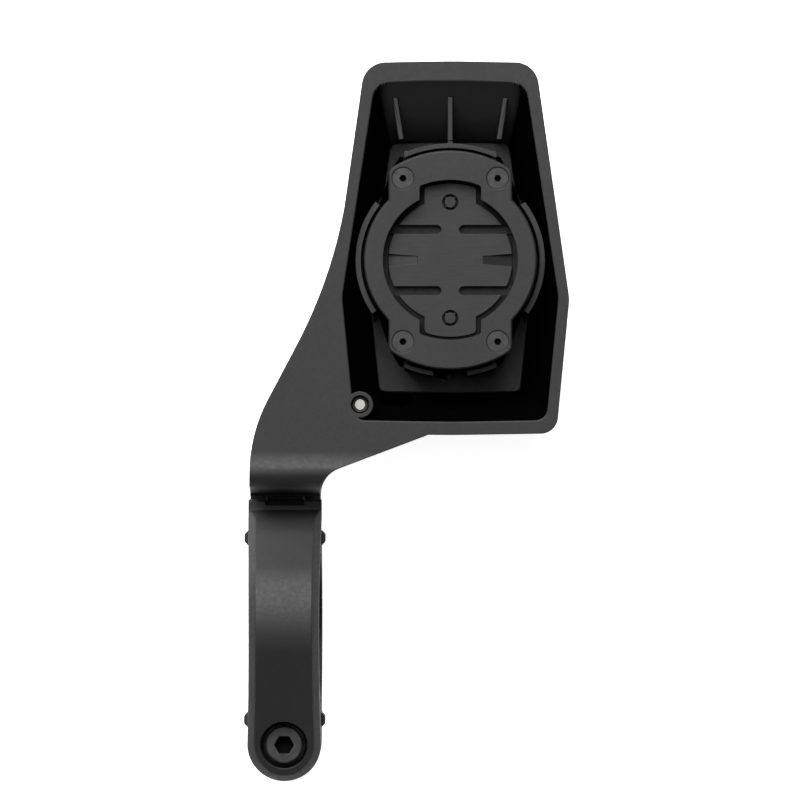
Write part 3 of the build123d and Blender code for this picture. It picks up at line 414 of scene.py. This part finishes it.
FINISHES = {
    "black_nylon": moulded_nylon(),
    "black_acetal": pressed_acetal(),
    "black_rubber": ribbed_rubber(),
    "black_oxide_steel": black_oxide(),
    "stainless_steel": turned_stainless(),
    "brass": brass_in_painted_shade(),
}
# Painted shade: near-black cowl inner walls, with painted light on the front wall.
INNER_WALL_PAINTED_SHADE = painted_shade_cavity_wall()
# Painted shade for the spring plate's flange groove, the slot recess and the right detent
# groove.
GROOVE_SHADE = painted_shade_nylon("groove_shade", specular=0.1)
SLOT_SHADE = painted_shade_nylon("slot_shade", specular=0.28)
# Painted shade for the insides of hex sockets.
SOCKET_PAINTED_SHADE = Finish("socket_painted_shade", (0.003, 0.003, 0.003), roughness=0.9, specular=0.05).material
SLOT_OF = {row["node"]: row["material_slot"] for row in frame["record"]["subparts"]}
BODY_OF = {node: body for body, nodes in frame["record"]["behaviour"]["bodies"].items()
           for node in nodes}


# ------------------------------------------------------------ piece helpers
def finish_nodes():
    """Gives every CAD node its finish."""
    for name, node in frame["nodes"].items():
        for slot in node.material_slots:
            slot.material = FINISHES[SLOT_OF[name]]


def settle(piece, nodes, smooth_deg=SMOOTH_DEG):
    """Puts a finished piece in its nodes' place and on their body."""
    if smooth_deg:
        shade(piece, smooth_deg)
    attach(piece, BODY_OF[nodes[0]])
    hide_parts(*nodes)
    return piece


def shade(piece, smooth_deg):
    """Smooth faces, with edges sharper than the angle kept crisp."""
    mesh = piece.data
    mesh.shade_smooth()
    form = bmesh.new()
    form.from_mesh(mesh)
    for edge in form.edges:
        if len(edge.link_faces) == 2:
            edge.smooth = edge.calc_face_angle(0.0) < radians(smooth_deg)
    form.to_mesh(mesh)
    form.free()


def new_piece(name, mesh, finish):
    """Object for a mesh, with the finish if the mesh has none."""
    piece = bpy.data.objects.new(name, mesh)
    bpy.context.collection.objects.link(piece)
    if not mesh.materials:
        mesh.materials.append(finish)
    return piece


def frozen(piece):
    """Turns what the modifiers make into the piece's own mesh."""
    graph = bpy.context.evaluated_depsgraph_get()
    mesh = bpy.data.meshes.new_from_object(piece.evaluated_get(graph), depsgraph=graph)
    piece.modifiers.clear()
    piece.data = mesh
    return piece


def mesh_from(form, name):
    """Plain mesh of a bmesh form, which is freed."""
    mesh = bpy.data.meshes.new(name)
    form.to_mesh(mesh)
    form.free()
    return mesh


def softened(name, node):
    """Merged copy of a CAD node with its sharp edges rounded."""
    mesh = frame["nodes"][node].data.copy()
    mesh.materials.clear()
    form = bmesh.new()
    form.from_mesh(mesh)
    bmesh.ops.remove_doubles(form, verts=form.verts, dist=MERGE_GAP)
    bmesh.ops.dissolve_degenerate(form, edges=form.edges, dist=SLIVER)
    bmesh.ops.dissolve_limit(form, angle_limit=radians(FLAT_DEG), verts=form.verts,
                             edges=form.edges, use_dissolve_boundaries=False)
    form.to_mesh(mesh)
    form.free()
    mesh.shade_smooth()
    piece = new_piece(name, mesh, FINISHES[SLOT_OF[node]])
    bevel = piece.modifiers.new("edge", "BEVEL")
    bevel.width = EDGE_W[node]
    bevel.segments = EDGE_SEGMENTS
    bevel.limit_method = "ANGLE"
    bevel.angle_limit = radians(EDGE_LIMIT_DEG)
    bevel.use_clamp_overlap = False
    bevel.loop_slide = True
    weigh = piece.modifiers.new("flats", "WEIGHTED_NORMAL")
    weigh.weight = FLATS_WEIGHT
    weigh.keep_sharp = True
    return frozen(piece)


def softened_copy(name, node):
    """A softened copy that takes its node's place."""
    return settle(softened(name, node), [node], smooth_deg=None)


def darken(piece, finish, chosen):
    """Gives the chosen faces their own finish, used here for painted shade and painted light."""
    piece.data.materials.append(finish)
    last = len(piece.data.materials) - 1
    for face in piece.data.polygons:
        if chosen(face.center, face.normal):
            face.material_index = last


def pocket_wall(centre, normal):
    """True for the cowl's inner walls, which get painted shade."""
    inward = COWL_CENTRE - centre
    inside = abs(inward.x) < POCKET_REACH_X and abs(inward.y) < POCKET_REACH_Y
    between = FLOOR_TOP_Z - POCKET_SINK < centre.z < RIM_Z - RIM_STRIP
    towards = normal.x * inward.x + normal.y * inward.y
    return inside and between and towards > INWARD_SHARE * inward.xy.length


def groove_foot(centre, normal):
    """True for the spring plate's low flange round its raised middle, which gets painted shade.
    """
    reach = (centre - COWL_CENTRE).xy.length
    outside = reach > ISLAND_R - FLANGE_DROP
    return outside and centre.z < ISLAND_Z - FLANGE_DROP and normal.z > -0.5


def right_detent(centre, normal):
    """True for the floor of the right detent groove, which gets painted shade for light falling
    from the left.
    """
    place = centre - COWL_CENTRE
    inside = DETENT_START < place.x < ISLAND_R and abs(place.y) < DETENT_HALF_W
    return inside and place.z < ISLAND_Z - DETENT_DROP and normal.z > 0.5


def slot_foot(centre, normal):
    """True for the tower's recess under the spring plate's slots, which gets painted shade."""
    reach = (centre - COWL_CENTRE).xy.length
    return reach < RECESS_R and RECESS_FOOT_Z < centre.z < ISLAND_Z - RECESS_DROP


def down_socket(places, radius, depth):
    """A test that is true for the faces inside a drive socket under each place, which get
    painted shade.
    """
    def chosen(centre, normal):
        for place in places:
            gap = centre - place
            if gap.xy.length < radius and -depth - SOCKET_SLACK < gap.z < -SOCKET_LIP:
                return True
        return False
    return chosen


# ---------------------------------------------------------- geometry trees
class Tree:
    """A geometry node tree with named inputs for its sizes."""

    def __init__(self, name):
        self.group = bpy.data.node_groups.new(name, "GeometryNodeTree")
        face = self.group.interface
        face.new_socket("Geometry", in_out="INPUT", socket_type="NodeSocketGeometry")
        face.new_socket("Geometry", in_out="OUTPUT", socket_type="NodeSocketGeometry")
        self.start = self.group.nodes.new("NodeGroupInput")
        self.end = self.group.nodes.new("NodeGroupOutput")
        self.sockets = {}

    def size(self, name, kind="NodeSocketFloat"):
        """Adds a named input."""
        socket = self.group.interface.new_socket(name, in_out="INPUT", socket_type=kind)
        self.sockets[name] = socket.identifier
        return self.start.outputs[name]

    def feed(self, socket, value):
        """Links a node's output to the socket, or sets a plain value."""
        if isinstance(value, bpy.types.NodeSocket):
            self.group.links.new(value, socket)
        else:
            socket.default_value = value

    def node(self, kind, *, settings=None, **inputs):
        """Adds a node, feeds its inputs by name and gives its first output."""
        node = self.group.nodes.new(kind)
        for key, value in (settings or {}).items():
            setattr(node, key, value)
        for key, value in inputs.items():
            for item in value if isinstance(value, list) else [value]:
                self.feed(node.inputs[key.replace("_", " ")], item)
        return node.outputs[0]

    def maths(self, operation, a, b):
        """One sum of two numbers."""
        node = self.group.nodes.new("ShaderNodeMath")
        node.operation = operation
        for socket, value in zip(node.inputs, (a, b)):
            self.feed(socket, value)
        return node.outputs[0]

    def raised(self, geometry, z):
        """The geometry, moved up by z."""
        up = self.node("ShaderNodeCombineXYZ", Z=z)
        return self.node("GeometryNodeTransform", Geometry=geometry, Translation=up)

    def wound(self, radius, length, pitch, ridge):
        """A thread's ridge, wound up a cylinder from its foot."""
        spiral = self.node("GeometryNodeCurveSpiral", Resolution=THREAD_STEPS, Height=length,
                           Rotations=self.maths("DIVIDE", length, pitch),
                           Start_Radius=radius, End_Radius=radius)
        profile = self.node("GeometryNodeCurvePrimitiveCircle", Resolution=4, Radius=ridge)
        return self.node("GeometryNodeCurveToMesh", Curve=spiral, Profile_Curve=profile,
                         Fill_Caps=True)

    def finish(self, geometry):
        """Ends the tree: one copy at each place, made real and given its finish."""
        material = self.size("Finish", "NodeSocketMaterial")
        spots = self.node("GeometryNodeInstanceOnPoints", Instance=geometry,
                          Points=self.start.outputs["Geometry"])
        whole = self.node("GeometryNodeRealizeInstances", Geometry=spots)
        done = self.node("GeometryNodeSetMaterial", Geometry=whole, Material=material)
        self.group.links.new(done, self.end.inputs[0])
        return self

    def grow(self, name, places, values, finish):
        """Runs the tree on a mesh of the places and keeps the plain result."""
        mesh = bpy.data.meshes.new(name)
        mesh.from_pydata([tuple(p) for p in places], [], [])
        mesh.materials.append(finish)
        piece = new_piece(name, mesh, finish)
        modifier = piece.modifiers.new("grow", "NODES")
        modifier.node_group = self.group
        for key, value in {**values, "Finish": finish}.items():
            modifier[self.sockets[key]] = value
        return frozen(piece)


def screw_tree():
    """Head with a hex socket, shank and rolled thread, one at each place."""
    tree = Tree("socket_screw")
    head_top = tree.size("Head Top Radius")
    head_foot = tree.size("Head Foot Radius")
    head_h = tree.size("Head Height")
    shank_r = tree.size("Shank Radius")
    length = tree.size("Length")
    socket_r = tree.size("Socket Corner Radius")
    socket_d = tree.size("Socket Depth")
    pitch = tree.size("Thread Pitch")
    plain = tree.size("Plain Shank")
    turn = tree.size("Turn", "NodeSocketVector")
    cone = tree.node("GeometryNodeMeshCone", Vertices=HEAD_SIDES, Radius_Top=head_top,
                     Radius_Bottom=head_foot, Depth=head_h)
    head = tree.raised(cone, tree.maths("MULTIPLY", head_h, -1.0))
    hexagon = tree.node("GeometryNodeMeshCylinder", Vertices=6, Radius=socket_r,
                        Depth=tree.maths("MULTIPLY", socket_d, 2.0))
    head = tree.node("GeometryNodeMeshBoolean", settings={"operation": "DIFFERENCE"},
                     Mesh_1=head, Mesh_2=hexagon)
    shank_l = tree.maths("SUBTRACT", length, head_h)
    shank = tree.node("GeometryNodeMeshCylinder", Vertices=SHANK_SIDES, Radius=shank_r,
                      Depth=shank_l)
    shank = tree.raised(shank, tree.maths("MULTIPLY", tree.maths("ADD", length, head_h), -0.5))
    thread_l = tree.maths("SUBTRACT", tree.maths("SUBTRACT", shank_l, plain), pitch)
    ridge = tree.maths("MULTIPLY", pitch, RIDGE_SHARE)
    thread = tree.wound(shank_r, thread_l, pitch, ridge)
    low = tree.maths("SUBTRACT", tree.maths("MULTIPLY", pitch, 0.5), length)
    thread = tree.raised(thread, low)
    whole = tree.node("GeometryNodeJoinGeometry", Geometry=[head, shank, thread])
    return tree.finish(tree.node("GeometryNodeTransform", Geometry=whole, Rotation=turn))


def thread_tree():
    """Rolled thread wound down from each place."""
    tree = Tree("rolled_thread")
    radius = tree.size("Radius")
    length = tree.size("Length")
    pitch = tree.size("Pitch")
    thread = tree.wound(radius, length, pitch, tree.size("Ridge Radius"))
    return tree.finish(tree.raised(thread, tree.maths("MULTIPLY", length, -1.0)))


def knurl_tree():
    """Upright ridges round a cylinder at each place."""
    tree = Tree("knurl")
    radius = tree.size("Radius")
    height = tree.size("Height")
    count = tree.size("Count", "NodeSocketInt")
    ridge = tree.size("Ridge Radius")
    circle = tree.node("GeometryNodeCurvePrimitiveCircle", Resolution=count, Radius=radius)
    points = tree.node("GeometryNodeCurveToPoints", settings={"mode": "EVALUATED"}, Curve=circle)
    bar = tree.node("GeometryNodeMeshCylinder", Vertices=4, Radius=ridge, Depth=height)
    facing = tree.node("FunctionNodeAlignRotationToVector", settings={"axis": "X"},
                       Vector=tree.node("GeometryNodeInputPosition"))
    ring = tree.node("GeometryNodeInstanceOnPoints", Points=points, Instance=bar,
                     Rotation=facing)
    return tree.finish(tree.node("GeometryNodeRealizeInstances", Geometry=ring))


# ------------------------------------------------------------------ pieces
def middle_of(node):
    """Middle of a node's box."""
    low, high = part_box(node)
    return (Vector(low) + Vector(high)) / 2


def top_of(node):
    """Middle of the top of a node's box."""
    middle = middle_of(node)
    return Vector((middle.x, middle.y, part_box(node)[1][2]))


def foot_of(node):
    """Middle of the underside of a node's box."""
    middle = middle_of(node)
    return Vector((middle.x, middle.y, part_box(node)[0][2]))


def in_metres(sizes):
    """The same sizes, turned from millimetres to metres."""
    return {key: size * MM for key, size in sizes.items()}


def socket_screws(name, tree, nodes, places, sizes, turn=(0.0, 0.0, 0.0)):
    """Screws made by the tree, on their nodes' body."""
    values = {**in_metres(sizes), "Turn": turn}
    return settle(tree.grow(name, places, values, FINISHES[SLOT_OF[nodes[0]]]), nodes)


def close_rows(form, rows):
    """Faces between neighbouring rows, round both ways."""
    for here, there in zip(rows, rows[1:] + rows[:1]):
        count = len(here)
        for i in range(count):
            j = (i + 1) % count
            form.faces.new((here[i], here[j], there[j], there[i]))


def lathe(name, profile, centre, finish, steps):
    """Turned ring from (radius, height) points in millimetres."""
    form = bmesh.new()
    rows = []
    for step in range(steps):
        angle = 2 * pi * step / steps
        rows.append([form.verts.new((centre.x + r * MM * cos(angle),
                                     centre.y + r * MM * sin(angle), z * MM))
                     for r, z in profile])
    close_rows(form, rows)
    bmesh.ops.recalc_face_normals(form, faces=form.faces)
    return new_piece(name, mesh_from(form, name), finish)


def joined(name, parts, nodes):
    """One piece from several meshes of the same body."""
    form = bmesh.new()
    for part in parts:
        form.from_mesh(part.data)
    finish = parts[0].data.materials[0]
    for part in parts:
        bpy.data.objects.remove(part)
    mesh = mesh_from(form, name)
    for face in mesh.polygons:
        face.material_index = 0
    return settle(new_piece(name, mesh, finish), nodes)


def bar_pad(node):
    """Rubber liner with fine grip ribs along the bar."""
    low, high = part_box(node)
    front, rear = PAD_END_DEG[node]
    start, end = (front, 180 - rear) if node == "upper_bar_pad" else (180 - rear, 360 + front)
    stations = [(low[0], PAD_EDGE), (low[0] + PAD_EDGE, 0.0),
                (high[0] - PAD_EDGE, 0.0), (high[0], PAD_EDGE)]
    form = bmesh.new()
    loops = []
    for x, draw_in in stations:
        inner, outer = [], []
        for step in range(2 * PAD_RIBS + 1):
            angle = radians(start + (end - start) * step / (2 * PAD_RIBS))
            depth = PAD_RIB_DEPTH if step % 2 else 0.0
            for radius, store in ((BAR_R + depth + draw_in, inner),
                                  (CLAMP_R - PAD_SEAT_GAP, outer)):
                store.append(form.verts.new((x, radius * cos(angle), radius * sin(angle))))
        loops.append(inner + outer[::-1])
    count = len(loops[0])
    for here, there in zip(loops, loops[1:]):
        for i in range(count):
            j = (i + 1) % count
            form.faces.new((here[i], here[j], there[j], there[i]))
    for loop in (loops[0], loops[-1]):
        for i in range(count // 2 - 1):
            form.faces.new((loop[i], loop[i + 1], loop[count - 2 - i], loop[count - 1 - i]))
    bmesh.ops.recalc_face_normals(form, faces=form.faces)
    name = node + "_ribbed"
    piece = new_piece(name, mesh_from(form, name), FINISHES["black_rubber"])
    return settle(piece, [node], CRISP_DEG)


def hexagon_nut():
    """Captive nut with its outer edges chamfered."""
    low, high = (corner[2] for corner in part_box("clamp_nut"))
    centre = middle_of("clamp_nut")
    face_r = NUT_HALF_W * NUT_FACE_SHARE
    corner_r = NUT_HALF_W / cos(pi / 6)
    outline = [(low, face_r), (low + NUT_CHAMFER, corner_r),
               (high - NUT_CHAMFER, corner_r), (high, face_r)]
    form = bmesh.new()
    rows = [[] for _ in range(len(outline) + 2)]
    for step in range(NUT_STEPS):
        angle = 2 * pi * step / NUT_STEPS
        flat = NUT_HALF_W / cos((angle + pi / 6) % (pi / 3) - pi / 6)
        reaches = [(z, min(flat, limit)) for z, limit in outline]
        for row, (z, reach) in zip(rows, reaches + [(high, NUT_BORE_R), (low, NUT_BORE_R)]):
            row.append(form.verts.new((centre.x + reach * cos(angle),
                                       centre.y + reach * sin(angle), z)))
    close_rows(form, rows)
    bmesh.ops.recalc_face_normals(form, faces=form.faces)
    name = "chamfered_nut"
    piece = new_piece(name, mesh_from(form, name), FINISHES["stainless_steel"])
    return settle(piece, ["clamp_nut"], CRISP_DEG)


def knurled_insert(name, nodes, knurls, outer, bore):
    """Brass inserts: a bored, chamfered barrel with upright knurls."""
    finish = FINISHES["brass"]
    parts, middles = [], []
    low, high = (corner[2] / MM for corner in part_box(nodes[0]))
    body_r = outer - INSERT_CUT_BACK
    edge_r = body_r - INSERT_EDGE
    profile = [(bore, low), (edge_r, low), (body_r, low + INSERT_EDGE),
               (body_r, high - INSERT_EDGE), (edge_r, high),
               (bore + INSERT_CUT_BACK, high), (bore, high - INSERT_CUT_BACK)]
    for node in nodes:
        parts.append(lathe(node + "_barrel", profile, foot_of(node), finish, INSERT_STEPS))
        middles.append(middle_of(node))
    sizes = {"Radius": body_r, "Height": high - low - 4 * INSERT_EDGE,
             "Ridge Radius": INSERT_RIDGE_R}
    values = {**in_metres(sizes), "Count": INSERT_KNURLS}
    parts.append(knurls.grow(name + "_knurls", middles, values, finish))
    return joined(name, parts, nodes)


def cap_screw(knurls, threads):
    """Socket cap screw with a knurled head and a rolled thread."""
    finish = FINISHES["black_oxide_steel"]
    top = top_of("clamp_screw")
    blank = softened("cap_blank", "clamp_screw")
    knurl_middle = (top.x, top.y, CAP_SEAT_Z + CAP_KNURL_SHARE * CAP_HEAD_H)
    grip = knurls.grow("cap_knurls", [knurl_middle],
                       {**in_metres(CAP_KNURL), "Count": CAP_KNURLS}, finish)
    thread_top = (top.x, top.y, CAP_SEAT_Z - CAP_PLAIN)
    thread = threads.grow("cap_thread", [thread_top], in_metres(CAP_THREAD), finish)
    piece = joined("knurled_cap_screw", [blank, grip, thread], ["clamp_screw"])
    # Painted shade inside the hex socket.
    darken(piece, SOCKET_PAINTED_SHADE, down_socket([top], CAP_SOCKET_R, CAP_SOCKET_D))


def lock_stud(threads):
    """Lock screw with a fine thread up to its rounded tip."""
    finish = FINISHES["stainless_steel"]
    top = top_of("lock_screw")
    blank = softened("lock_blank", "lock_screw")
    thread_top = (top.x, top.y, top.z - LOCK_TIP)
    thread = threads.grow("lock_thread", [thread_top], in_metres(LOCK_THREAD), finish)
    piece = joined("threaded_lock_screw", [blank, thread], ["lock_screw"])
    socket_top = foot_of("lock_screw") + Vector((0, 0, LOCK_SOCKET_TOP))
    # Painted shade inside the hex socket.
    darken(piece, SOCKET_PAINTED_SHADE, down_socket([socket_top], LOCK_SOCKET_R, LOCK_SOCKET_D))


def rounded_washer():
    """Plain washer with its outer edges and the bore's upper edge broken."""
    low, high = (corner[2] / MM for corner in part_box("clamp_washer"))
    bore, outer, edge = WASHER_BORE_R, WASHER_R, WASHER_EDGE
    profile = [(bore, low), (outer - edge, low), (outer, low + edge), (outer, high - edge),
               (outer - edge, high), (bore + edge, high), (bore, high - edge)]
    washer = lathe("rounded_washer", profile, foot_of("clamp_washer"),
                   FINISHES["black_oxide_steel"], WASHER_STEPS)
    return settle(washer, ["clamp_washer"])


def moulded_parts():
    """Cowl, tower, ring, spring plate, strap and pin, with painted shade on some faces."""
    cowl = softened_copy("cowl_and_arm", "mount_body")
    # Painted shade on the cowl's inner walls, painted light on its front wall.
    darken(cowl, INNER_WALL_PAINTED_SHADE, pocket_wall)
    base = softened_copy("tower_and_floor", "receiver_base")
    # Painted shade in the tower's recess under the slots.
    darken(base, SLOT_SHADE, slot_foot)
    softened_copy("twist_lock_ring", "bayonet_ring")
    plate = softened_copy("spring_plate", "detent_plate")
    # Painted shade on the spring plate's low flange.
    darken(plate, GROOVE_SHADE, groove_foot)
    # Painted shade on the right detent groove only, for light falling from the left.
    darken(plate, SLOT_SHADE, right_detent)
    softened_copy("hinged_strap", "clamp_strap")
    softened_copy("rounded_pin", "hinge_pin")


def hardware():
    """Pads, nut, washer, screws and inserts."""
    screws, threads, knurls = screw_tree(), thread_tree(), knurl_tree()
    for node in PAD_END_DEG:
        bar_pad(node)
    hexagon_nut()
    rounded_washer()
    cap_screw(knurls, threads)
    lock_stud(threads)
    knurled_insert("knurled_ring_inserts", RING_INSERTS, knurls, outer=1.95, bore=1.2)
    knurled_insert("knurled_lock_insert", ["lock_insert"], knurls, outer=2.05, bore=1.3)
    tops = [top_of(node) for node in RING_SCREWS]
    ring = socket_screws("ring_screws", screws, RING_SCREWS, tops, RING_SCREW)
    # Painted shade inside the hex sockets.
    darken(ring, SOCKET_PAINTED_SHADE, down_socket(tops, RING_SOCKET_R, RING_SOCKET_D))
    feet = [foot_of(node) for node in BELLY_SCREWS]
    socket_screws("belly_screws", screws, BELLY_SCREWS, feet, BELLY_SCREW, (pi, 0.0, 0.0))


add_floor()
finish_nodes()
moulded_parts()
hardware()
add_camera()
add_lights()
add_world()
bpy.context.scene.view_settings.view_transform = "Standard"
